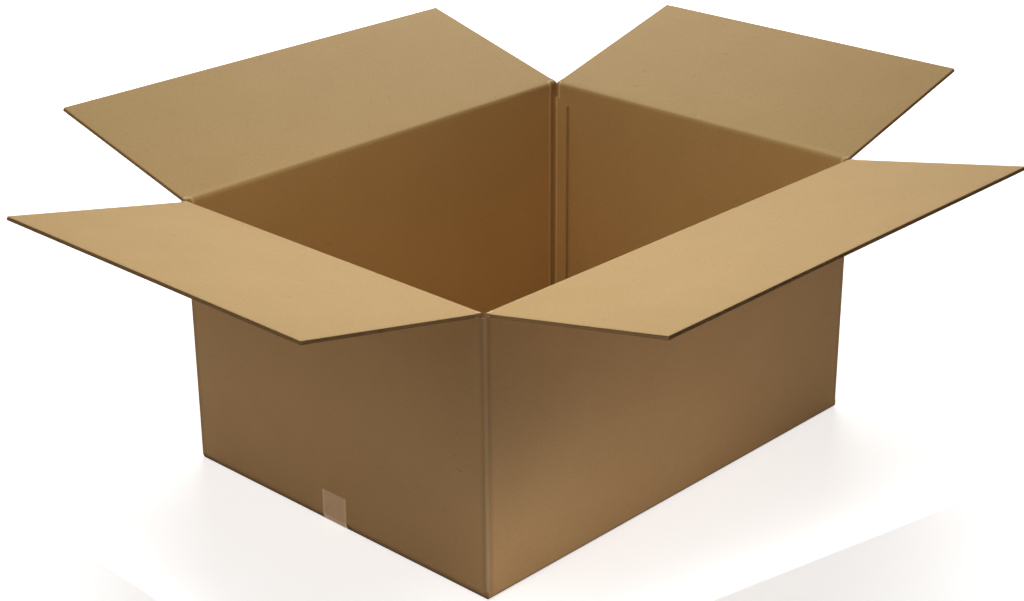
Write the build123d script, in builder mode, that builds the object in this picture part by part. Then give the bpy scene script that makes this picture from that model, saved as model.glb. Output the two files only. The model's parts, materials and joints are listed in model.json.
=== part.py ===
"""Open slotted carton of double-wall corrugated board, standing on its taped bottom.

The carton is one folded sheet: four walls, a glue tab at the back right corner, two pairs
of bottom flaps and two pairs of top flaps. The end flaps fold in first and the long side
flaps close over them and meet in the middle. The bottom is closed and taped, and the four
top flaps stand open, so each top flap is a piece of its own that turns on its crease.

Millimetres. The origin is the middle of the footprint on the floor, +X runs along the long
sides, -Y is the front long side and +Z is up.
"""
from build123d import *
import math
import os

# The clear inside of the closed carton
inside_length = 800.0
inside_width = 605.0
inside_depth = 397.0

# The board, its folds and the crushed score on the inner side of each upright fold
board = 6.5
fold_outer_radius = 6.0
fold_inner_radius = 0.8
stack_gap = 0.3
score_depth = 0.8
score_width = 9.0

# Where the slots between neighbouring flaps are cut, measured from the outer wall faces
long_flap_inset = 3.0
end_flap_side_gap = 0.2
seam_gap = 1.0

# The glue tab, and the raw edge of the wall that is glued over it
tab_width = 38.0
tab_end_gap = 8.0
tab_end_slope = 15.0
raw_edge_setback = 7.0

# The crease of the top flaps
mitre_gap = 0.2
chamfer_gap = 0.05

# The angle at which each top flap stands above level, in degrees
front_lift_angle = 11.3
back_lift_angle = 15.0
left_lift_angle = 11.5
right_lift_angle = 15.2

# The sealing tape along the bottom seam
tape_width = 50.0
tape_thickness = 0.25
tape_rise = 50.0
tape_turn = 3.0

# The walls, worked out from the inside and the board
length = inside_length + 2 * board
width = inside_width + 2 * board
end_x = length / 2
side_y = width / 2

# The bottom has two layers: the long flaps lie on the floor and the end flaps on them. Their folds
# are as round as the crushed board at the crease allows.
end_flap_floor = board + stack_gap
bottom_fold_radius = min(fold_outer_radius, board - score_depth)
wall_foot = end_flap_floor + bottom_fold_radius
inner_floor = end_flap_floor + board

# Two layers also close the top: the end flaps lie level with the crease line under them
crease = inner_floor + inside_depth + board
flap_depth = width / 2 - board / 2 - seam_gap / 2
long_flap_length = length - 2 * long_flap_inset
end_flap_length = inside_width - 2 * (fold_inner_radius + end_flap_side_gap)

# A long flap turns at the middle of the board, just above the flat top of its wall
long_pivot_y = side_y - board / 2
long_pivot_z = crease + stack_gap + board / 2
wall_chamfer = math.sqrt(2) * (board / 2 + chamfer_gap) - stack_gap


def flap_plane(pivot, outward, lift):
    """The section plane of a top flap: x runs out along the flap and y off its inner face."""
    along = outward * math.cos(math.radians(lift)) + Vector(0, 0, math.sin(math.radians(lift)))
    off_face = Vector(0, 0, math.cos(math.radians(lift))) - outward * math.sin(math.radians(lift))
    return Plane(origin=pivot, x_dir=along, z_dir=along.cross(off_face))


# The folded sheet without its top flaps
with BuildPart() as carton_body:
    # Four walls with rounded folds, the right wall ending in a raw edge beside the last fold
    with BuildSketch(Plane.XY.offset(wall_foot)) as walls:
        Rectangle(length, width)
        with Locations((end_x - board, side_y - raw_edge_setback)):
            Rectangle(board, raw_edge_setback, align=(Align.MIN, Align.MIN), mode=Mode.SUBTRACT)
        corners = walls.vertices().group_by(Axis.Y)
        fillet(corners[0] + corners[-1], fold_outer_radius)
        RectangleRounded(inside_length, inside_width, fold_inner_radius, mode=Mode.SUBTRACT)
    extrude(amount=crease - wall_foot)

    # The glue tab, inside the right wall, with its two ends cut on a slope
    tab_foot = inner_floor + tab_end_gap
    tab_head = crease - board - tab_end_gap
    tab_edge = side_y - tab_width
    with BuildSketch(Plane.YZ.offset(end_x - 2 * board)):
        with BuildLine():
            Polyline(
                (side_y - board / 2, tab_foot),
                (side_y - board / 2, tab_head),
                (tab_edge, tab_head - tab_end_slope),
                (tab_edge, tab_foot + tab_end_slope),
                close=True,
            )
        make_face()
    extrude(amount=board)

    # The upright scores, crushed into the inner faces on both sides of each fold. The last fold is
    # the glue tab's, one board in from the others.
    score_size = score_width + score_depth
    score_y = inside_width / 2 + score_depth - score_size / 2
    score_x = inside_length / 2 + score_depth - score_size / 2
    with BuildSketch(Plane.XY.offset(wall_foot)):
        with Locations(
            (-score_x, -score_y), (score_x, -score_y), (-score_x, score_y), (score_x - board, score_y)
        ):
            RectangleRounded(score_size, score_size, fold_inner_radius)
    extrude(amount=crease - wall_foot, mode=Mode.SUBTRACT)

    # Bottom flaps of the two ends, folded in above the long ones
    for side in (-1, 1):
        with BuildSketch(Plane.XZ) as end_bottom:
            with Locations((side * (end_x - flap_depth / 2), end_flap_floor + board / 2)):
                Rectangle(flap_depth, board)
            low_corners = end_bottom.vertices().group_by(Axis.Y)[0].sort_by(Axis.X)
            fillet(low_corners[0 if side < 0 else -1], bottom_fold_radius)
        extrude(amount=end_flap_length / 2, both=True)

    # Bottom flaps of the two long sides, which meet at the middle seam
    for side in (-1, 1):
        with BuildSketch(Plane.YZ) as long_bottom:
            with Locations((side * (side_y + seam_gap / 2) / 2, board / 2)):
                Rectangle(side_y - seam_gap / 2, board)
            with Locations((side * (side_y - board / 2), wall_foot / 2)):
                Rectangle(board, wall_foot)
            low_corners = long_bottom.vertices().group_by(Axis.Y)[0].sort_by(Axis.X)
            fillet(low_corners[0 if side < 0 else -1], bottom_fold_radius)
        extrude(amount=long_flap_length / 2, both=True)

    # The tape is pressed flush into the liner of the bottom flaps
    with Locations((0, 0, tape_thickness / 2)):
        Box(length, tape_width, tape_thickness, mode=Mode.SUBTRACT)

    # The end walls are mitred at the crease, for flaps that fold down between the long walls.
    # The right wall's mitre runs out through its raw edge.
    for side, back_y in ((-1, inside_width / 2), (1, side_y)):
        inner_x = side * (end_x - board)
        outer_x = side * (end_x + board)
        with BuildSketch(Plane.XZ.offset(-back_y)):
            with BuildLine():
                Polyline(
                    (inner_x, crease - board - mitre_gap),
                    (outer_x, crease + board - mitre_gap),
                    (outer_x, crease + 2 * board),
                    (inner_x, crease + 2 * board),
                    close=True,
                )
            make_face()
        extrude(amount=back_y + inside_width / 2, mode=Mode.SUBTRACT)

    # The crushed outer edge of the long walls' crease, which lets their flaps drop below level
    for side in (-1, 1):
        with BuildSketch(Plane.YZ):
            with BuildLine():
                Polyline(
                    (side * side_y, crease),
                    (side * side_y, crease - wall_chamfer),
                    (side * (side_y - wall_chamfer), crease),
                    close=True,
                )
            make_face()
        extrude(amount=long_flap_length / 2 + stack_gap, both=True, mode=Mode.SUBTRACT)

carton_body.part.label = "carton_body"


def long_flap_section():
    """Section of a long side's top flap: a rounded crease edge at its middle and a cut edge."""
    with BuildSketch(mode=Mode.PRIVATE) as section:
        with BuildLine():
            Polyline((0, -board / 2), (flap_depth, -board / 2), (flap_depth, board / 2), (0, board / 2))
            ThreePointArc((0, board / 2), (-board / 2, 0), (0, -board / 2))
        make_face()
    return section.sketch


def end_flap_section():
    """Section of an end's top flap: mitred at its crease, which is the outer face's edge."""
    with BuildSketch(mode=Mode.PRIVATE) as section:
        with BuildLine():
            Polyline(
                (mitre_gap, 0),
                (flap_depth, 0),
                (flap_depth, board),
                (board + mitre_gap, board),
                close=True,
            )
        make_face()
    return section.sketch


# Top flap of the front long side
with BuildPart() as front_flap:
    with BuildSketch(flap_plane(Vector(0, -long_pivot_y, long_pivot_z), Vector(0, -1, 0), front_lift_angle)):
        add(long_flap_section())
    extrude(amount=long_flap_length / 2, both=True)

front_flap.part.label = "front_flap"

# Top flap of the back long side
with BuildPart() as back_flap:
    with BuildSketch(flap_plane(Vector(0, long_pivot_y, long_pivot_z), Vector(0, 1, 0), back_lift_angle)):
        add(long_flap_section())
    extrude(amount=long_flap_length / 2, both=True)

back_flap.part.label = "back_flap"

# Top flap of the left end
with BuildPart() as left_flap:
    with BuildSketch(flap_plane(Vector(-end_x, 0, crease), Vector(-1, 0, 0), left_lift_angle)):
        add(end_flap_section())
    extrude(amount=end_flap_length / 2, both=True)

left_flap.part.label = "left_flap"

# Top flap of the right end
with BuildPart() as right_flap:
    with BuildSketch(flap_plane(Vector(end_x, 0, crease), Vector(1, 0, 0), right_lift_angle)):
        add(end_flap_section())
    extrude(amount=end_flap_length / 2, both=True)

right_flap.part.label = "right_flap"

# The tape: along the bottom seam, over the raw ends of the long flaps and up both end walls
with BuildPart() as bottom_tape:
    low_x = end_x - long_flap_inset
    turn_z = end_flap_floor + tape_turn
    with BuildSketch(Plane.XZ):
        with BuildLine():
            Polyline(
                (-end_x, tape_rise),
                (-end_x, turn_z),
                (-low_x, tape_thickness),
                (low_x, tape_thickness),
                (end_x, turn_z),
                (end_x, tape_rise),
                (end_x + tape_thickness, tape_rise),
                (end_x + tape_thickness, turn_z),
                (low_x + tape_thickness, 0),
                (-low_x - tape_thickness, 0),
                (-end_x - tape_thickness, turn_z),
                (-end_x - tape_thickness, tape_rise),
                close=True,
            )
        make_face()
    extrude(amount=tape_width / 2, both=True)

bottom_tape.part.label = "bottom_tape"

os.makedirs("parts", exist_ok=True)
export_step(carton_body.part, "parts/carton_body.step")
export_step(front_flap.part, "parts/front_flap.step")
export_step(back_flap.part, "parts/back_flap.step")
export_step(left_flap.part, "parts/left_flap.step")
export_step(right_flap.part, "parts/right_flap.step")
export_step(bottom_tape.part, "parts/bottom_tape.step")
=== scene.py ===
"""Looks of an open shipping carton of double-wall board.

The four top flaps become fluted boards with their cut edges open to view, each crease becomes a
rounded fold, the walls and the bottom get their paper and their raw edges, and the seam tape its
film. The file is laid out as an add-on and is run as a script."""

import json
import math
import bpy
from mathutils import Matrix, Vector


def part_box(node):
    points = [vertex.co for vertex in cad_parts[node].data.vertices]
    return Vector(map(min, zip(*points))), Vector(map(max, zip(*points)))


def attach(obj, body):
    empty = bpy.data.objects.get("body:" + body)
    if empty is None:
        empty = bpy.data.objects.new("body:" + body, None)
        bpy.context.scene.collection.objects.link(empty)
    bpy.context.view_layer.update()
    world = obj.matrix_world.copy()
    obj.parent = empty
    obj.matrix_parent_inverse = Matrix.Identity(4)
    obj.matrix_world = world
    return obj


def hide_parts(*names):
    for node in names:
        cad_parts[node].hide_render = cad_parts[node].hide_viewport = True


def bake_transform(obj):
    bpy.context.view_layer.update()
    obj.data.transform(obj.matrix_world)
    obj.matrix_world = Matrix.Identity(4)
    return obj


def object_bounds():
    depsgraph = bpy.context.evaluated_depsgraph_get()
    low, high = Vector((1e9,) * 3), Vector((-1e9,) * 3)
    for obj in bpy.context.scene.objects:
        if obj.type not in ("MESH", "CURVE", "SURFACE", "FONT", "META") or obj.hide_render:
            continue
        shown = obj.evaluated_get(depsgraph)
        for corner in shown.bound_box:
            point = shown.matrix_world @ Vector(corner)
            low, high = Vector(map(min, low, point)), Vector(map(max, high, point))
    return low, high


bl_info = {
    "name": "Open shipping carton",
    "version": (1, 0, 0),
    "blender": (4, 5, 0),
    "location": "3D Viewport > Sidebar > Carton",
    "description": "Dresses an open carton with fluted flaps, rounded folds and seam tape",
    "category": "Object",
}

import bmesh
import bpy
from bpy.props import FloatProperty, FloatVectorProperty, PointerProperty
from mathutils import Matrix, Vector

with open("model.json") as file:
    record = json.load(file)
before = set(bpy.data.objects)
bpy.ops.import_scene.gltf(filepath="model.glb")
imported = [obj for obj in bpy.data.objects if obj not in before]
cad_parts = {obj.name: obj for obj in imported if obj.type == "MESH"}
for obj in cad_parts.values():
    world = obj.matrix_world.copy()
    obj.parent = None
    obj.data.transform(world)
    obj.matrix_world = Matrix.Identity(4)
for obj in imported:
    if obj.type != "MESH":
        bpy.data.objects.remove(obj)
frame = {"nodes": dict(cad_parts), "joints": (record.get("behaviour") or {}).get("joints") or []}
CAD_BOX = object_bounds()

# Each flap: the joint at its crease and the direction in which it opens
FLAPS = {
    "front_flap": ("front_crease", Vector((0, -1, 0))),
    "back_flap": ("back_crease", Vector((0, 1, 0))),
    "left_flap": ("left_crease", Vector((-1, 0, 0))),
    "right_flap": ("right_crease", Vector((1, 0, 0))),
}
UP = Vector((0, 0, 1))

# Faces that meet at less than this angle are shaded as one round surface
SMOOTH_ANGLE = math.radians(32)

# How many faces one flute and one bend have across them
FLUTE_COLUMNS = 8
BEND_STEPS = 8

# Vertices nearer than this become one, in metres
WELD_FLUTES = 0.00002
WELD_FOLD = 0.00001
WELD_SHELL = 0.000001

# How far a flap's board starts inside its fold, and a cutter stands clear of what it cuts
LAP = 0.0005
SPARE = 0.001

# The bend in a crushed edge: its place as a share of the crushed width, and its share of the crush
CRUSH_KNEE = 0.4
KNEE_SHARE = 0.35

# The painted shade round the bottom edge: full up to the first height, from where it fades out, and
# below the second one, towards the underside, it falls off this many times faster
BOTTOM_SHADE_HEIGHT = 0.003
UNDERSIDE_HEIGHT = 0.0003
UNDERSIDE_FALL = 16

# How far the painted highlight lines stand off the middle of an upright score
SCORE_HIGHLIGHT_PLACE = 0.0084

# The floor: its size, how far it lies under the carton, and over which reach it turns plain white
FLOOR_SIZE = 16
FLOOR_DROP = 0.0002
FLOOR_FADE = (0.7, 2.0)

# Each soft light: where it stands, the width and height of its face and its power in watts
LAMPS = {
    "Key_softbox": ((2.7, 2.55, 4.6), 2.6, 2.6, 87.0),
    "Back_softbox": ((2.6, 2.45, 2.2), 2.6, 2.6, 72.0),
    "Top_softbox": ((-0.45, -0.35, 1.4), 0.5, 0.5, 4.4),
    "Left_softbox": ((-2.6, 0.1, 1.7), 1.8, 1.2, 6.4),
    "Front_softbox": ((-0.12, -0.56, 0.03), 0.9, 0.05, 0.38),
    "Low_softbox": ((-0.72, 0.04, 0.03), 0.7, 0.05, 0.12),
}


def linear(hex_colour):
    """Linear red, green and blue of an sRGB hex colour."""
    values = [int(hex_colour[i : i + 2], 16) / 255 for i in (1, 3, 5)]
    return tuple(v / 12.92 if v <= 0.04045 else ((v + 0.055) / 1.055) ** 2.4 for v in values)


class CartonBoard(bpy.types.PropertyGroup):
    """Sizes of the board and of its folds."""

    paper: FloatProperty(
        name="Liner", description="Thickness of each flat liner", default=0.00045, unit="LENGTH"
    )
    medium: FloatProperty(
        name="Medium", description="Thickness of the fluted paper", default=0.0004, unit="LENGTH"
    )
    coarse_pitch: FloatProperty(
        name="Coarse flute", description="Pitch of the flutes on the inner side", default=0.0079,
        unit="LENGTH",
    )
    fine_pitch: FloatProperty(
        name="Fine flute", description="Pitch of the flutes on the outer side", default=0.0063,
        unit="LENGTH",
    )
    coarse_share: FloatProperty(
        name="Coarse share", description="Share of the board taken by the coarse flutes",
        default=0.58, subtype="FACTOR", min=0.3, max=0.7,
    )
    crushed: FloatProperty(
        name="Crushed edge", description="Thickness left at a cut edge, as a share",
        default=0.78, subtype="FACTOR", min=0.5, max=1.0,
    )
    crush_width: FloatProperty(
        name="Crush width", description="How far in from a cut edge the board is crushed",
        default=0.003, unit="LENGTH",
    )
    bend_radius: FloatProperty(
        name="Bend radius", description="Radius inside each top fold", default=0.0008, unit="LENGTH"
    )
    grip: FloatProperty(
        name="Fold reach", description="How far a fold runs down the wall from its hinge",
        default=0.0105, unit="LENGTH",
    )
    cover: FloatProperty(
        name="Cover", description="How far the folds stand proud of the solids they hide",
        default=0.00006, unit="LENGTH",
    )
    stack_gap: FloatProperty(
        name="Stack gap", description="Gap between two layers of folded flaps", default=0.0003,
        unit="LENGTH",
    )
    raw_setback: FloatProperty(
        name="Raw edge", description="How far the raw wall edge stays back from the last fold",
        default=0.007, unit="LENGTH",
    )
    tab_width: FloatProperty(
        name="Glue tab", description="Width of the glue tab", default=0.038, unit="LENGTH"
    )
    channel: FloatProperty(
        name="Open flutes", description="How deep the gaps between the liners are at a raw edge",
        default=0.004, unit="LENGTH",
    )
    cavity: FloatProperty(
        name="Cavity", description="How deep a cut edge is open before its flutes are crushed shut",
        default=0.0008, unit="LENGTH",
    )
    opened: FloatProperty(
        name="Open strip", description="Width of the fluted strip along a bottom flap's free edge",
        default=0.014, unit="LENGTH",
    )


class CartonColours(bpy.types.PropertyGroup):
    """Colours of the paper and the tape."""

    inner_light: FloatVectorProperty(
        name="Inner liner, light", description="Light fibres of the inner liner", subtype="COLOR",
        default=linear("#D9B578"), min=0, max=1,
    )
    inner_dark: FloatVectorProperty(
        name="Inner liner, dark", description="Dark fibres of the inner liner", subtype="COLOR",
        default=linear("#CAA368"), min=0, max=1,
    )
    outer_light: FloatVectorProperty(
        name="Outer liner, light", description="Light fibres of the outer liner", subtype="COLOR",
        default=linear("#D9B07C"), min=0, max=1,
    )
    outer_dark: FloatVectorProperty(
        name="Outer liner, dark", description="Dark fibres of the outer liner", subtype="COLOR",
        default=linear("#CA9E6B"), min=0, max=1,
    )
    fluting: FloatVectorProperty(
        name="Fluting", description="The waved paper between the liners", subtype="COLOR",
        default=linear("#CBA273"), min=0, max=1,
    )
    tape: FloatVectorProperty(
        name="Tape", description="Buff packing tape", subtype="COLOR",
        default=linear("#ECC188"), min=0, max=1,
    )
    floor: FloatVectorProperty(
        name="Floor", description="The studio floor", subtype="COLOR",
        default=linear("#F7F7F7"), min=0, max=1,
    )


class CartonView(bpy.types.PropertyGroup):
    """The camera and the light."""

    camera_place: FloatVectorProperty(
        name="Camera", description="Where the camera stands", subtype="XYZ_LENGTH",
        default=(-2.0549, -1.9244, 1.4322),
    )
    azimuth: FloatProperty(
        name="Azimuth", description="Heading of the view, from +X towards +Y",
        default=math.radians(43.563), unit="ROTATION",
    )
    elevation: FloatProperty(
        name="Elevation", description="How far the view looks down",
        default=math.radians(23.208), unit="ROTATION",
    )
    roll: FloatProperty(
        name="Roll", description="Turn of the picture", default=math.radians(-0.3562),
        unit="ROTATION",
    )
    lens: FloatProperty(
        name="Lens", description="Focal length in mm on a 36 mm sensor", default=69.796
    )
    light: FloatProperty(
        name="Light", description="Share of each lamp's power that is used", default=1.0, min=0.0
    )
    surround: FloatProperty(
        name="Surround", description="Strength of the plain light all round", default=0.01
    )
    floor_bounce: FloatVectorProperty(
        name="Floor bounce", description="Colour with which the floor lights the carton",
        subtype="COLOR", default=linear("#ECECEC"), min=0, max=1,
    )
    floor_lift: FloatProperty(
        name="Floor lift", default=0.74,
        description="How far the seen floor is lifted to white beside the carton",
    )


def deselect():
    """Leaves nothing selected, in object mode."""
    if bpy.context.object and bpy.context.object.mode != "OBJECT":
        bpy.ops.object.mode_set(mode="OBJECT")
    bpy.ops.object.select_all(action="DESELECT")


def fresh(name):
    """Names the primitive that was just added, applies its place and scale and returns it."""
    piece = bpy.context.object
    piece.name = name
    piece.data.name = name
    bpy.ops.object.transform_apply(location=True, rotation=True, scale=True)
    return piece


def choose(piece, test):
    """Selects the vertices of a piece in edit mode whose place passes the test."""
    bpy.ops.mesh.select_mode(type="VERT")
    bpy.ops.mesh.select_all(action="DESELECT")
    mesh = bmesh.from_edit_mesh(piece.data)
    for vertex in mesh.verts:
        vertex.select = test(vertex.co)
    mesh.select_flush_mode()
    bmesh.update_edit_mesh(piece.data)


def cut(piece, point, normal, clear=False):
    """Cuts the whole piece along a plane, and may clear what lies beyond it."""
    bpy.ops.mesh.select_all(action="SELECT")
    bpy.ops.mesh.bisect(plane_co=point, plane_no=normal, clear_outer=clear)


def modify(piece, kind, **settings):
    """Adds a modifier with its settings and applies it."""
    modifier = piece.modifiers.new(kind.title(), kind)
    for name, value in settings.items():
        setattr(modifier, name, value)
    bpy.context.view_layer.objects.active = piece
    bpy.ops.object.modifier_apply(modifier=modifier.name)


def join(pieces, name):
    """Joins pieces into the first one."""
    deselect()
    for piece in pieces:
        piece.select_set(True)
    bpy.context.view_layer.objects.active = pieces[0]
    bpy.ops.object.join()
    pieces[0].name = name
    pieces[0].data.name = name
    return pieces[0]


def settle(piece, matrix):
    """Moves a finished piece to its place and leaves its object at the origin."""
    deselect()
    piece.matrix_world = matrix
    piece.select_set(True)
    bpy.context.view_layer.objects.active = piece
    bpy.ops.object.transform_apply(location=True, rotation=True, scale=True)
    bpy.ops.object.shade_smooth_by_angle(angle=SMOOTH_ANGLE)


class Crease:
    """Where a top flap lies, read from its node and its joint."""

    def __init__(self, node):
        joint_name, self.outward = FLAPS[node]
        joint = next(j for j in frame["joints"] if j["name"] == joint_name)
        self.node = node
        self.along = self.outward.cross(UP)
        self.pivot = Vector(joint["pos_m"])
        corners = [v.co.copy() for v in frame["nodes"][node].data.vertices]
        low = max(corners, key=lambda c: c.dot(self.outward))
        high = max(corners, key=lambda c: c.z)
        low -= self.along * low.dot(self.along)
        high -= self.along * high.dot(self.along)
        self.normal = (high - low).normalized()
        self.thickness = (high - low).length
        self.reach_way = self.normal.cross(self.along)
        if self.reach_way.dot(self.outward) < 0:
            self.reach_way.negate()
        self.depth = (low - self.pivot).dot(self.reach_way)
        self.under = low - self.reach_way * self.depth
        self.length = 2 * max(c.dot(self.along) for c in corners)
        box_corner = Vector(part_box("carton_body")[1])
        self.wall = abs(box_corner.dot(self.outward))
        step = (self.wall - self.under.dot(self.outward)) / self.reach_way.dot(self.outward)
        self.notch = self.under + self.reach_way * step
        self.lift = math.asin(self.reach_way.z)

    def place(self):
        """Matrix of the flap: x along the crease, y towards the free edge, z through the board."""
        matrix = Matrix((self.along, self.reach_way, self.normal)).transposed()
        if matrix.determinant() < 0:
            matrix = Matrix((-self.along, self.reach_way, self.normal)).transposed()
        return Matrix.Translation(self.under) @ matrix.to_4x4()


def fluted_sheet(name, width, near, far, pitch, low, high, paper):
    """The waved paper of a board, its flutes running from the crease to the free edge."""
    height = high - low - paper
    deselect()
    bpy.ops.mesh.primitive_grid_add(x_subdivisions=FLUTE_COLUMNS, y_subdivisions=1, size=1)
    sheet = bpy.context.object
    sheet.scale = (pitch, far - near, 1)
    sheet.location = (0, (near + far) / 2, (low + high) / 2)
    fresh(name)
    bpy.ops.object.mode_set(mode="EDIT")
    columns = sorted({round(v.co.x, 7) for v in sheet.data.vertices})
    for place in columns:
        choose(sheet, lambda co: abs(co.x - place) < pitch / 100)
        rise = height / 2 * math.cos(2 * math.pi * place / pitch)
        bpy.ops.transform.translate(value=(0, 0, rise))
    bpy.ops.object.mode_set(mode="OBJECT")
    count = math.ceil(width / pitch) + 1
    modify(sheet, "ARRAY", count=count, use_merge_vertices=True, merge_threshold=WELD_FLUTES)
    bpy.ops.object.mode_set(mode="EDIT")
    bpy.ops.mesh.select_all(action="SELECT")
    bpy.ops.transform.translate(value=(-(count - 1) * pitch / 2, 0, 0))
    cut(sheet, (width / 2, 0, 0), (1, 0, 0), clear=True)
    cut(sheet, (-width / 2, 0, 0), (-1, 0, 0), clear=True)
    bpy.ops.object.mode_set(mode="OBJECT")
    modify(sheet, "SOLIDIFY", thickness=paper, offset=0)
    return sheet


def liner(name, width, near, far, low, paper):
    """One flat paper of a board."""
    deselect()
    bpy.ops.mesh.primitive_cube_add(size=1)
    sheet = bpy.context.object
    sheet.scale = (width, far - near, paper)
    sheet.location = (0, (near + far) / 2, low + paper / 2)
    return fresh(name)


def crush_edges(board, width, far, thickness, share, reach):
    """Presses the three cut edges of a board thinner, as a die cut leaves them."""
    middle = thickness / 2
    bpy.context.view_layer.objects.active = board
    bpy.ops.object.mode_set(mode="EDIT")
    for step in (1.0, CRUSH_KNEE):
        cut(board, (0, far - reach * step, 0), (0, 1, 0))
        cut(board, (width / 2 - reach * step, 0, 0), (1, 0, 0))
        cut(board, (-width / 2 + reach * step, 0, 0), (-1, 0, 0))
    small = reach / 50
    ring = lambda co: max(abs(co.x) - width / 2, co.y - far)
    for place, part in ((0.0, share), (-CRUSH_KNEE * reach, 1 - (1 - share) * KNEE_SHARE)):
        choose(board, lambda co: abs(ring(co) - place) < small)
        bpy.ops.transform.resize(value=(1, 1, part), center_override=(0, 0, middle))
    bpy.ops.object.mode_set(mode="OBJECT")


def node(tree, kind, inputs=None, **settings):
    """Adds a shader node with its settings, and its inputs as values or as links from sockets."""
    made = tree.nodes.new(kind)
    for name, value in settings.items():
        setattr(made, name, value)
    for name, value in (inputs or {}).items():
        if isinstance(value, bpy.types.NodeSocket):
            tree.links.new(value, made.inputs[name])
        else:
            made.inputs[name].default_value = value
    return made


def per(millimetres):
    """Texture scale, in repeats a metre, of a pattern of this size."""
    return 1000 / millimetres


def start_material(name):
    """An empty material with its surface shader, and the tree that holds it."""
    material = bpy.data.materials.new(name)
    material.use_nodes = True
    tree = material.node_tree
    tree.nodes.clear()
    shader = node(tree, "ShaderNodeBsdfPrincipled")
    node(tree, "ShaderNodeOutputMaterial", {"Surface": shader.outputs["BSDF"]})
    return material, tree, shader


def lay_tones(tree, paper, tones):
    """Lays tones over a colour, in turn. Each has the value that it follows, where that starts and
    stops, the share of the tone at the start and at the stop, and its colour."""
    for value, start, stop, first, last, colour in tones:
        share = node(
            tree, "ShaderNodeMapRange",
            {"Value": value, "From Min": start, "From Max": stop, "To Min": first, "To Max": last},
        )
        laid = node(
            tree, "ShaderNodeMix",
            {"Factor": share.outputs["Result"], "A": paper, "B": (*linear(colour), 1)},
            data_type="RGBA",
        )
        paper = laid.outputs["Result"]
    return paper


def roughen(tree, shader, grain, smooth, rough):
    """Lets the roughness of a surface follow its grain, between a smooth and a rough value."""
    roughness = node(
        tree, "ShaderNodeMapRange",
        {"Value": grain.outputs["Fac"], "To Min": smooth, "To Max": rough},
    )
    tree.links.new(roughness.outputs["Result"], shader.inputs["Roughness"])


def upright_scores(tree, flat, quarter, corner, board):
    """How near a point is to an upright fold on the inner side of the walls, in metres. The glue
    tab's fold stands one board in from the corner."""
    fold = node(tree, "ShaderNodeVectorMath", {0: quarter, 1: corner}, operation="DISTANCE")
    tab_fold = (corner[0] - board, corner[1], 0)
    tab = node(tree, "ShaderNodeVectorMath", {0: flat, 1: tab_fold}, operation="DISTANCE")
    return node(
        tree, "ShaderNodeMath", {0: fold.outputs["Value"], 1: tab.outputs["Value"]},
        operation="MINIMUM",
    ).outputs[0]


def flute_waves(tree, places, quarter, corner, board, pitch):
    """A wave for each flute. The flutes follow one another along the nearest crease."""
    split = node(tree, "ShaderNodeSeparateXYZ", {"Vector": places.outputs["Object"]})
    past = node(tree, "ShaderNodeVectorMath", {0: quarter, 1: corner}, operation="SUBTRACT")
    past = node(tree, "ShaderNodeSeparateXYZ", {"Vector": past.outputs[0]})
    end = node(
        tree, "ShaderNodeMath", {0: past.outputs["X"], 1: past.outputs["Y"]},
        operation="GREATER_THAN",
    )
    # the end bottom flaps are the upper layer of the bottom: 1 to 2.2 boards up takes them in
    level = node(
        tree, "ShaderNodeMath",
        {0: split.outputs["Z"], 1: 1.6 * board, 2: 0.6 * board}, operation="COMPARE",
    )
    end = node(
        tree, "ShaderNodeMath", {0: end.outputs[0], 1: level.outputs[0]}, operation="MAXIMUM"
    )
    chosen = node(
        tree, "ShaderNodeMix",
        {"Factor": end.outputs[0], "A": split.outputs["X"], "B": split.outputs["Y"]},
    )
    angle = node(
        tree, "ShaderNodeMath", {0: chosen.outputs["Result"], 1: 2 * math.pi / pitch},
        operation="MULTIPLY",
    )
    return node(tree, "ShaderNodeMath", {0: angle.outputs[0]}, operation="SINE").outputs[0]


def inner_tones(tree, flat, quarter, fold, board):
    """Tones of the inner liner: painted shade in each upright fold and painted highlights beside
    it."""
    reach = upright_scores(tree, flat, quarter, fold, board)
    off_highlight = node(tree, "ShaderNodeMath", {0: reach, 1: SCORE_HIGHLIGHT_PLACE}, operation="SUBTRACT")
    highlight_gap = node(tree, "ShaderNodeMath", {0: off_highlight.outputs[0]}, operation="ABSOLUTE")
    return [
        # painted shade in each upright fold
        (reach, 0.0025, 0.006, 0.45, 0.0, "#6A4216"),
        # painted highlights on two lines, one each side of the fold
        (highlight_gap.outputs[0], 0.001, 0.0024, 0.6, 0.0, "#F8DCA8"),
    ]


def outer_tones(tree, places, quarter, edge):
    """Tones of the outer liner, which is drawn tight over each upright fold: painted shade in a
    band beside the fold, a painted highlight along its nose, and painted shade round the bottom
    edge that fades out underneath."""
    nose = node(tree, "ShaderNodeVectorMath", {0: quarter, 1: edge}, operation="DISTANCE")
    split = node(tree, "ShaderNodeSeparateXYZ", {"Vector": places.outputs["Object"]})
    above = node(
        tree, "ShaderNodeMath", {0: split.outputs["Z"], 1: BOTTOM_SHADE_HEIGHT}, operation="SUBTRACT"
    )
    below = node(
        tree, "ShaderNodeMath",
        {0: split.outputs["Z"], 1: -UNDERSIDE_FALL, 2: UNDERSIDE_FALL * UNDERSIDE_HEIGHT},
        operation="MULTIPLY_ADD",
    )
    off_bottom_shade = node(
        tree, "ShaderNodeMath", {0: above.outputs[0], 1: below.outputs[0]}, operation="MAXIMUM"
    )
    return [
        # painted shade in a band beside each upright fold
        (nose.outputs["Value"], 0.0044, 0.014, 0.26, 0.0, "#6B4A26"),
        # painted shade round the bottom edge, fading out towards the underside
        (off_bottom_shade.outputs[0], 0.0, 0.004, 0.6, 0.0, "#4A3A28"),
        # painted highlight along the nose of each upright fold
        (nose.outputs["Value"], 0.003, 0.0046, 0.36, 0.0, "#EBCB9E"),
    ]


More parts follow.
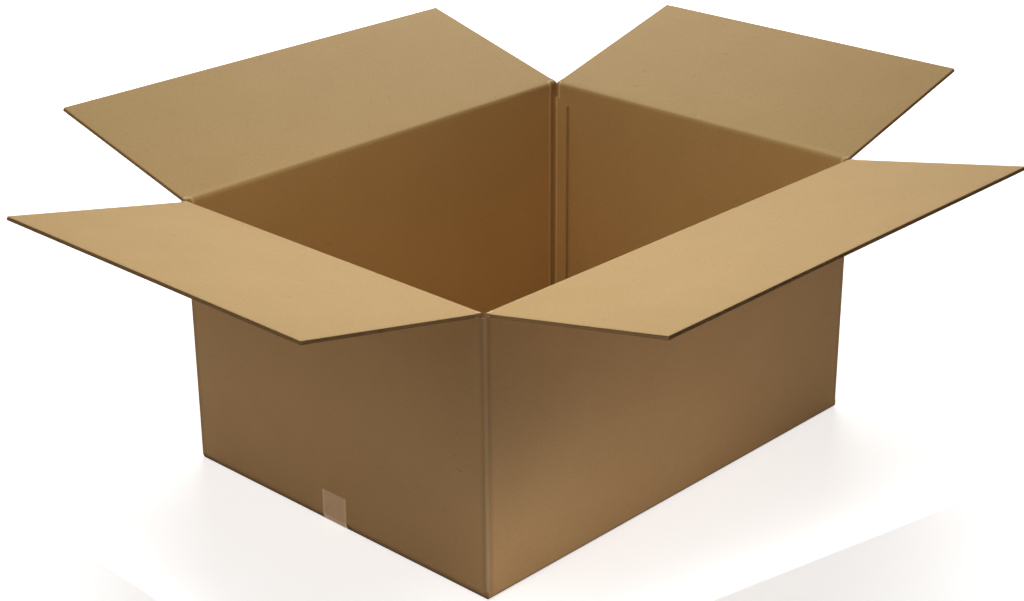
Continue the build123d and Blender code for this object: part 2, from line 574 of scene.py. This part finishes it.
def kraft_liner(name, light, dark, pitch, outer):
    """Kraft linerboard: unbleached pulp pressed dull and smooth, which shows long fibres, soft
    clouds of tone and, faintly, the flutes glued under it."""
    material, tree, shader = start_material(name)
    places = node(tree, "ShaderNodeTexCoord")
    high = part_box("carton_body")[1]
    board = Crease("left_flap").thickness
    fold = (high[0] - board, high[1] - board, 0)
    # the place in plan, and the same mirrored into one quarter of the carton
    flat = node(
        tree, "ShaderNodeVectorMath", {0: places.outputs["Object"], 1: (1, 1, 0)},
        operation="MULTIPLY",
    ).outputs[0]
    quarter = node(tree, "ShaderNodeVectorMath", {0: flat}, operation="ABSOLUTE").outputs[0]
    flutes = flute_waves(tree, places, quarter, fold, board, pitch)
    # fibres a few millimetres long and half a millimetre wide, clouds of tone, and dark flecks
    stretch = node(
        tree, "ShaderNodeMapping", {"Vector": places.outputs["Object"], "Scale": (0.35, 0.35, 1.0)}
    )
    fibre = node(
        tree, "ShaderNodeTexNoise",
        {"Vector": stretch.outputs["Vector"], "Scale": per(1.6), "Detail": 4.0, "Roughness": 0.62},
    )
    cloud = node(
        tree, "ShaderNodeTexNoise",
        {"Vector": places.outputs["Object"], "Scale": per(90), "Detail": 3.0},
    )
    fleck = node(
        tree, "ShaderNodeTexNoise",
        {"Vector": stretch.outputs["Vector"], "Scale": per(4.5), "Detail": 2.0},
    )
    # the tone is mostly fibre, with a third of cloud and a trace of flute
    fibre_part = node(
        tree, "ShaderNodeMath", {0: fibre.outputs["Fac"], 1: 0.9}, operation="MULTIPLY"
    )
    cloud_part = node(
        tree, "ShaderNodeMath",
        {0: cloud.outputs["Fac"], 1: 0.35, 2: fibre_part.outputs[0]}, operation="MULTIPLY_ADD",
    )
    flute_part = node(
        tree, "ShaderNodeMath", {0: flutes, 1: 0.02, 2: cloud_part.outputs[0]},
        operation="MULTIPLY_ADD",
    )
    tone = node(
        tree, "ShaderNodeMapRange",
        {"Value": flute_part.outputs[0], "From Min": 0.3, "From Max": 0.95},
    )
    pulp = node(
        tree, "ShaderNodeMix",
        {"Factor": tone.outputs["Result"], "A": (*dark, 1), "B": (*light, 1)},
        data_type="RGBA",
    )
    tones = [(fleck.outputs["Fac"], 0.66, 0.78, 0.0, 0.2, "#8A6540")]
    if outer:
        tones += outer_tones(tree, places, quarter, (high[0], high[1], 0))
    else:
        tones += inner_tones(tree, flat, quarter, fold, board)
    paper = lay_tones(tree, pulp.outputs["Result"], tones)
    tree.links.new(paper, shader.inputs["Base Color"])
    roughen(tree, shader, fibre, 0.6, 0.78)
    # the flutes draw the liner into a faint washboard under its fibres
    wash = node(
        tree, "ShaderNodeMath", {0: flutes, 1: 0.35, 2: fibre.outputs["Fac"]},
        operation="MULTIPLY_ADD",
    )
    bump = node(
        tree, "ShaderNodeBump", {"Height": wash.outputs[0], "Strength": 0.14, "Distance": 0.0002}
    )
    tree.links.new(bump.outputs["Normal"], shader.inputs["Normal"])
    shader.inputs["IOR"].default_value = 1.47
    shader.inputs["Specular IOR Level"].default_value = 0.15
    return material


def film_tape(colours):
    """Buff polypropylene packing tape: thin film rolled smooth, a little glossy, with the board's
    tone showing through and pale where its edges lift."""
    material, tree, shader = start_material("Buff_film_tape")
    places = node(tree, "ShaderNodeTexCoord")
    split = node(tree, "ShaderNodeSeparateXYZ", {"Vector": places.outputs["Object"]})
    off_middle = node(tree, "ShaderNodeMath", {0: split.outputs["Y"]}, operation="ABSOLUTE")
    mottle = node(
        tree, "ShaderNodeTexNoise",
        {"Vector": places.outputs["Object"], "Scale": per(7), "Detail": 3.0},
    )
    film = node(
        tree, "ShaderNodeMix",
        {"Factor": mottle.outputs["Fac"], "A": (*linear("#DCAE7A"), 1), "B": (*colours.tape, 1)},
        data_type="RGBA",
    )
    lifted = [(off_middle.outputs[0], 0.019, 0.024, 0.0, 0.5, "#F4D9B2")]
    film = lay_tones(tree, film.outputs["Result"], lifted)
    tree.links.new(film, shader.inputs["Base Color"])
    roughen(tree, shader, mottle, 0.28, 0.42)
    shader.inputs["IOR"].default_value = 1.49
    return material


def fluting_paper(colours):
    """Fluting medium: thin semi-chemical paper, darker and rougher than the liners."""
    material, tree, shader = start_material("Fluting_paper")
    places = node(tree, "ShaderNodeTexCoord")
    fibre = node(
        tree, "ShaderNodeTexNoise",
        {"Vector": places.outputs["Object"], "Scale": per(1.2), "Detail": 3.0},
    )
    paper = node(
        tree, "ShaderNodeMix",
        {"Factor": fibre.outputs["Fac"], "A": (*linear("#B58C5E"), 1), "B": (*colours.fluting, 1)},
        data_type="RGBA",
    )
    tree.links.new(paper.outputs["Result"], shader.inputs["Base Color"])
    roughen(tree, shader, fibre, 0.8, 0.95)
    return material


def seen_directly(tree):
    """1 where the camera, a reflection or a view through glass meets the surface, and 0 for the
    light that it gives."""
    path = node(tree, "ShaderNodeLightPath")
    seen = node(
        tree, "ShaderNodeMath",
        {0: path.outputs["Is Camera Ray"], 1: path.outputs["Is Glossy Ray"]}, operation="MAXIMUM",
    )
    through = node(
        tree, "ShaderNodeMath",
        {0: seen.outputs[0], 1: path.outputs["Is Transmission Ray"]}, operation="MAXIMUM",
    )
    return through.outputs[0]


def dress(piece, *materials):
    """Gives a piece its materials, in the order of its slots."""
    piece.data.materials.clear()
    for material in materials:
        piece.data.materials.append(material)


def papers(context):
    """The inner liner, the outer liner and the fluting medium, made the first time."""
    colours = context.scene.carton_colours
    pitch = context.scene.carton_board.coarse_pitch
    names = ("Kraft_inner_liner", "Kraft_outer_liner", "Fluting_paper")
    if names[0] not in bpy.data.materials:
        kraft_liner(names[0], colours.inner_light, colours.inner_dark, pitch, outer=False)
        kraft_liner(names[1], colours.outer_light, colours.outer_dark, pitch, outer=True)
        fluting_paper(colours)
    return tuple(bpy.data.materials[name] for name in names)


def layers(sizes, thick):
    """Heights at which the middle liner and the two flute channels of a board start and end."""
    open_height = thick - 3 * sizes.paper
    middle = thick - sizes.paper * 2 - open_height * sizes.coarse_share
    return (sizes.paper, middle), (middle + sizes.paper, thick - sizes.paper)


def crushed_core(name, sizes, width, near, far, thick):
    """The flutes behind a cut edge, crushed shut, which keep the edge from looking hollow."""
    deselect()
    bpy.ops.mesh.primitive_cube_add(size=1)
    core = bpy.context.object
    core.scale = (width - 2 * sizes.cavity, far - near - sizes.cavity, thick - 3 * sizes.paper)
    core.location = (0, (near + far - sizes.cavity) / 2, thick / 2)
    return fresh(name)


def fluted_board(context, name, width, near, far, thick):
    """A piece of double-wall board: three liners with fine and coarse flutes between them."""
    sizes = context.scene.carton_board
    fine, coarse = layers(sizes, thick)
    flats = [
        liner(name + "_outer_liner", width, near, far, 0, sizes.paper),
        liner(name + "_middle_liner", width, near, far, fine[1], sizes.paper),
        liner(name + "_inner_liner", width, near, far, coarse[1], sizes.paper),
    ]
    waves = [
        fluted_sheet(name + "_fine", width, near, far, sizes.fine_pitch, *fine, sizes.medium),
        fluted_sheet(name + "_coarse", width, near, far, sizes.coarse_pitch, *coarse, sizes.medium),
    ]
    core = crushed_core(name + "_core", sizes, width, near, far, thick)
    inner, outer, fluting = papers(context)
    sheets = [*flats, *waves, core]
    for sheet, paper in zip(sheets, (outer, inner, inner, fluting, fluting, fluting)):
        dress(sheet, paper)
    return join(sheets, name)


class CARTON_OT_flaps(bpy.types.Operator):
    """Make the four top flaps as fluted boards"""

    bl_idname = "carton.flaps"
    bl_label = "Fluted flaps"

    def execute(self, context):
        sizes = context.scene.carton_board
        for name in FLAPS:
            crease = Crease(name)
            near = sizes.grip - LAP
            far = crease.depth
            width = crease.length
            thick = crease.thickness
            piece_name = name.replace("flap", "board")
            board = fluted_board(context, piece_name, width, near, far, thick)
            crush_edges(board, width, far, thick, sizes.crushed, sizes.crush_width)
            settle(board, crease.place())
            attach(board, name)
            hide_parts(name)
        return {"FINISHED"}


class CARTON_OT_folds(bpy.types.Operator):
    """Make the rounded folds that join the walls to the flaps"""

    bl_idname = "carton.folds"
    bl_label = "Crease folds"

    def execute(self, context):
        sizes = context.scene.carton_board
        for name in FLAPS:
            crease = Crease(name)
            fold = self.swept_fold(crease, sizes)
            dress(fold, *papers(context))
            for face in fold.data.polygons:
                # its ends show the fluting, and its outward faces the outer liner
                if abs(face.normal.dot(crease.along)) > 0.9:
                    face.material_index = 2
                elif face.normal.dot(crease.outward) > 0.05:
                    face.material_index = 1
            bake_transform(fold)
        return {"FINISHED"}

    @staticmethod
    def flat(crease, point):
        """The point or step without its part along the crease."""
        return point - crease.along * point.dot(crease.along)

    @staticmethod
    def centre(crease, sizes):
        """Centre of the bend, just outside the notch between the wall and the flap."""
        down_and_out = (crease.reach_way - UP).normalized()
        half_angle = (math.pi / 2 + crease.lift) / 2
        return crease.notch + down_and_out * (sizes.bend_radius / math.sin(half_angle))

    def swept_fold(self, crease, sizes):
        """A strip of board swept up the wall, round the bend and out along the flap."""
        board = crease.thickness + 2 * sizes.cover
        centre = self.centre(crease, sizes)
        low = crease.pivot.z - sizes.grip
        middle = crease.outward * (crease.wall - crease.thickness / 2)
        is_end = abs(crease.outward.x) > abs(crease.outward.y)
        deselect()
        bpy.ops.mesh.primitive_plane_add(size=1)
        strip = bpy.context.object
        strip.scale = (board, crease.length, 1) if is_end else (crease.length, board, 1)
        strip.location = middle + UP * low
        fresh(crease.node.replace("flap", "fold"))
        bpy.ops.object.mode_set(mode="EDIT")
        bpy.ops.mesh.select_all(action="SELECT")
        # up to the top of the wall, and on to the bend
        mitre = crease.pivot.z - crease.thickness - sizes.cover
        for rise in (mitre - low, centre.z - mitre):
            bpy.ops.mesh.extrude_region_move(TRANSFORM_OT_translate={"value": (0, 0, rise)})
        bpy.ops.mesh.spin(
            steps=BEND_STEPS,
            angle=math.pi / 2 - crease.lift,
            center=centre,
            axis=crease.along,
        )
        start = (centre - crease.under).dot(crease.reach_way)
        for stop in (crease.thickness + sizes.cover, sizes.grip):
            bpy.ops.mesh.extrude_region_move(
                TRANSFORM_OT_translate={"value": crease.reach_way * (stop - start)}
            )
            start = stop
        bpy.ops.mesh.select_all(action="SELECT")
        bpy.ops.mesh.remove_doubles(threshold=WELD_FOLD)
        if is_end:
            self.crush(crease, sizes, strip, centre)
        bpy.ops.mesh.select_all(action="SELECT")
        bpy.ops.mesh.normals_make_consistent(inside=False)
        bpy.ops.object.mode_set(mode="OBJECT")
        deselect()
        strip.select_set(True)
        bpy.context.view_layer.objects.active = strip
        bpy.ops.object.shade_smooth_by_angle(angle=SMOOTH_ANGLE)
        return strip

    @staticmethod
    def crush(crease, sizes, strip, centre):
        """Presses the score of an end fold in from outside, so that the closed fold clears the
        long flaps."""
        long_end = Crease("front_flap").length / 2
        pressed = long_end + sizes.stack_gap + sizes.bend_radius
        bend = crease.outward * pressed + UP * (crease.pivot.z - sizes.stack_gap)
        score = 1.5 * sizes.bend_radius
        choose(strip, lambda co: CARTON_OT_folds.flat(crease, co - centre).length < score)
        bpy.ops.transform.translate(value=bend - centre)


def cutter(low, high):
    """A box between two opposite corners, that is later cut out of the shell."""
    deselect()
    bpy.ops.mesh.primitive_cube_add(size=1)
    tool = bpy.context.object
    tool.scale = [abs(b - a) for a, b in zip(low, high)]
    tool.location = [(a + b) / 2 for a, b in zip(low, high)]
    return fresh("Cutter")


class CARTON_OT_body(bpy.types.Operator):
    """Make the folded walls and bottom with their raw edges, and the tape"""

    bl_idname = "carton.body"
    bl_label = "Walls and tape"

    def execute(self, context):
        sizes = context.scene.carton_board
        colours = context.scene.carton_colours
        end = Crease("left_flap")
        high = Vector(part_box("carton_body")[1])
        shell = self.shell()
        tools = self.raw_edges(sizes, end, high)
        cut_out = join(tools, "Raw_edge_cutters")
        modify(shell, "BOOLEAN", operation="DIFFERENCE", object=cut_out, solver="EXACT")
        bpy.data.objects.remove(cut_out, do_unlink=True)
        self.paint(context, shell, end.thickness, high)
        settle(shell, Matrix.Identity(4))
        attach(shell, "carton")
        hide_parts("carton_body")
        self.bottom_edges(context, sizes, end)
        dress(frame["nodes"]["bottom_tape"], film_tape(colours))
        return {"FINISHED"}

    @staticmethod
    def shell():
        """A copy of the folded sheet, its triangles joined so that its round folds shade smooth."""
        source = frame["nodes"]["carton_body"]
        shell = bpy.data.objects.new("carton_shell", source.data.copy())
        bpy.context.scene.collection.objects.link(shell)
        deselect()
        shell.select_set(True)
        bpy.context.view_layer.objects.active = shell
        bpy.ops.object.mode_set(mode="EDIT")
        bpy.ops.mesh.select_all(action="SELECT")
        bpy.ops.mesh.remove_doubles(threshold=WELD_SHELL)
        bpy.ops.mesh.customdata_custom_splitnormals_clear()
        bpy.ops.object.mode_set(mode="OBJECT")
        return shell

    @staticmethod
    def paint(context, shell, thick, high):
        """Gives the outer faces of the shell the outer liner, and all others the inner one."""
        dress(shell, *papers(context)[:2])
        skin = 0.9 * thick
        for face in shell.data.polygons:
            middle = face.center
            outwards = face.normal.x * middle.x > 0 or face.normal.y * middle.y > 0
            near_rim = abs(middle.x) > high.x - skin or abs(middle.y) > high.y - skin
            below = face.normal.z < -0.3 and middle.z < thick
            face.material_index = int(below or (outwards and near_rim))

    @staticmethod
    def raw_edges(sizes, end, high):
        """Boxes for the gaps between the liners at the raw edges of the wall and of the glue tab,
        and for the strips of the end bottom flaps that fluted boards take over."""
        thick = end.thickness
        tools = []
        raw_y = high.y - sizes.raw_setback
        tab_y = high.y - sizes.tab_width
        # the gaps stop short of the bottom fold, of the mitre and of the tab's sloped ends
        foot = 3 * thick
        top = high.z - 2 * thick
        tab_foot = foot + 2 * thick
        tab_top = top - 3 * thick
        for start, stop in layers(sizes, thick):
            low_x = high.x - stop
            high_x = high.x - start
            tools.append(cutter((low_x, raw_y - sizes.channel, foot), (high_x, raw_y + SPARE, top)))
            tools.append(
                cutter(
                    (low_x - thick, tab_y - SPARE, tab_foot),
                    (high_x - thick, tab_y + sizes.channel, tab_top),
                )
            )
        strip_y = end.length / 2 + sizes.stack_gap
        floor = thick + sizes.stack_gap
        free_x = end.wall - end.depth
        for side in (-1, 1):
            tools.append(
                cutter(
                    (side * (free_x - SPARE), -strip_y, thick + sizes.stack_gap / 2),
                    (side * (free_x + sizes.opened), strip_y, floor + thick + SPARE),
                )
            )
        return tools

    @staticmethod
    def bottom_edges(context, sizes, end):
        """Fluted strips along the free edges of the two end bottom flaps, where the floor steps
        down."""
        thick = end.thickness
        free_x = end.wall - end.depth
        floor = thick + sizes.stack_gap
        for side, name in ((-1, "left_bottom_edge"), (1, "right_bottom_edge")):
            strip = fluted_board(context, name, end.length, 0, sizes.opened, thick)
            along = Vector((0, side, 0))
            inward = Vector((-side, 0, 0))
            turn = Matrix((along, inward, UP)).transposed().to_4x4()
            start = Vector((side * (free_x + sizes.opened), 0, floor))
            settle(strip, Matrix.Translation(start) @ turn)
            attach(strip, "carton")


class CARTON_OT_stage(bpy.types.Operator):
    """Make the floor, the light and the camera"""

    bl_idname = "carton.stage"
    bl_label = "Stage"

    def execute(self, context):
        view = context.scene.carton_view
        colours = context.scene.carton_colours
        self.floor(view, colours)
        self.lamps(view)
        self.surround(context, view)
        self.camera(context, view)
        context.scene.view_settings.view_transform = "Standard"
        return {"FINISHED"}

    @staticmethod
    def floor(view, colours):
        """A wide pale floor under the carton, lifted towards white where it is seen."""
        deselect()
        level = CAD_BOX[0][2] - FLOOR_DROP
        bpy.ops.mesh.primitive_plane_add(size=FLOOR_SIZE, location=(0, 0, level))
        ground = fresh("Studio_floor")
        material, tree, shader = start_material("Matt_studio_floor")
        seen = seen_directly(tree)
        tint = node(
            tree, "ShaderNodeMix",
            {"Factor": seen, "A": (*view.floor_bounce, 1), "B": (*colours.floor, 1)},
            data_type="RGBA",
        )
        places = node(tree, "ShaderNodeTexCoord")
        away = node(
            tree, "ShaderNodeVectorMath", {0: places.outputs["Object"]}, operation="LENGTH"
        )
        near, far = FLOOR_FADE
        lift = node(
            tree, "ShaderNodeMapRange",
            {
                "Value": away.outputs["Value"], "From Min": near, "From Max": far,
                "To Min": view.floor_lift, "To Max": 1.0,
            },
        )
        shown = node(
            tree, "ShaderNodeMath", {0: seen, 1: lift.outputs["Result"]}, operation="MULTIPLY"
        )
        tree.links.new(tint.outputs["Result"], shader.inputs["Base Color"])
        tree.links.new(shown.outputs[0], shader.inputs["Emission Strength"])
        shader.inputs["Emission Color"].default_value = (1, 1, 1, 1)
        shader.inputs["Roughness"].default_value = 0.9
        dress(ground, material)

    @staticmethod
    def lamps(view):
        """The soft lights, each turned towards the middle of the carton."""
        middle = Vector((0, 0, CAD_BOX[1][2] / 2))
        for name, (place, width, height, power) in LAMPS.items():
            deselect()
            bpy.ops.object.light_add(type="AREA", location=place)
            lamp = bpy.context.object
            lamp.name = name
            lamp.rotation_euler = (middle - Vector(place)).to_track_quat("-Z", "Y").to_euler()
            lamp.data.shape = "RECTANGLE"
            lamp.data.size = width
            lamp.data.size_y = height
            lamp.data.energy = power * view.light
            lamp.visible_camera = False

    @staticmethod
    def surround(context, view):
        """Plain light from all round, and white wherever the camera or a reflection sees past the
        floor."""
        world = bpy.data.worlds.new("Studio_surround")
        context.scene.world = world
        world.use_nodes = True
        tree = world.node_tree
        tree.nodes.clear()
        strength = node(
            tree, "ShaderNodeMapRange",
            {"Value": seen_directly(tree), "To Min": view.surround, "To Max": 1.0},
        )
        sky = node(
            tree, "ShaderNodeBackground",
            {"Color": (1, 1, 1, 1), "Strength": strength.outputs["Result"]},
        )
        node(tree, "ShaderNodeOutputWorld", {"Surface": sky.outputs["Background"]})

    @staticmethod
    def camera(context, view):
        """The camera, placed and turned as the object is seen."""
        forward = Vector(
            (
                math.cos(view.elevation) * math.cos(view.azimuth),
                math.cos(view.elevation) * math.sin(view.azimuth),
                -math.sin(view.elevation),
            )
        )
        right = forward.cross(UP).normalized()
        above = right.cross(forward)
        turned_right = right * math.cos(view.roll) + above * math.sin(view.roll)
        turned_up = above * math.cos(view.roll) - right * math.sin(view.roll)
        turn = Matrix((turned_right, turned_up, -forward)).transposed()
        deselect()
        bpy.ops.object.camera_add()
        camera = bpy.context.object
        camera.name = "Camera"
        camera.matrix_world = Matrix.Translation(view.camera_place) @ turn.to_4x4()
        camera.data.sensor_width = 36
        camera.data.lens = view.lens
        camera.data.clip_end = 60
        context.scene.camera = camera


class CARTON_PT_panel(bpy.types.Panel):
    """Sizes, colours and the steps that make the carton"""

    bl_idname = "CARTON_PT_panel"
    bl_label = "Shipping carton"
    bl_space_type = "VIEW_3D"
    bl_region_type = "UI"
    bl_category = "Carton"

    def draw(self, context):
        layout = self.layout
        for step in (CARTON_OT_flaps, CARTON_OT_folds, CARTON_OT_body, CARTON_OT_stage):
            layout.operator(step.bl_idname)
        scene = context.scene
        for group in (scene.carton_board, scene.carton_colours, scene.carton_view):
            column = layout.column()
            for name in group.__annotations__:
                column.prop(group, name)


CLASSES = (
    CartonBoard,
    CartonColours,
    CartonView,
    CARTON_OT_flaps,
    CARTON_OT_folds,
    CARTON_OT_body,
    CARTON_OT_stage,
    CARTON_PT_panel,
)


def register():
    for item in CLASSES:
        bpy.utils.register_class(item)
    bpy.types.Scene.carton_board = PointerProperty(type=CartonBoard)
    bpy.types.Scene.carton_colours = PointerProperty(type=CartonColours)
    bpy.types.Scene.carton_view = PointerProperty(type=CartonView)


def unregister():
    del bpy.types.Scene.carton_view
    del bpy.types.Scene.carton_colours
    del bpy.types.Scene.carton_board
    for item in reversed(CLASSES):
        bpy.utils.unregister_class(item)


def main():
    """Makes the whole carton and its stage."""
    register()
    bpy.ops.carton.stage()
    bpy.ops.carton.body()
    bpy.ops.carton.flaps()
    bpy.ops.carton.folds()


if __name__ == "__main__":
    main()
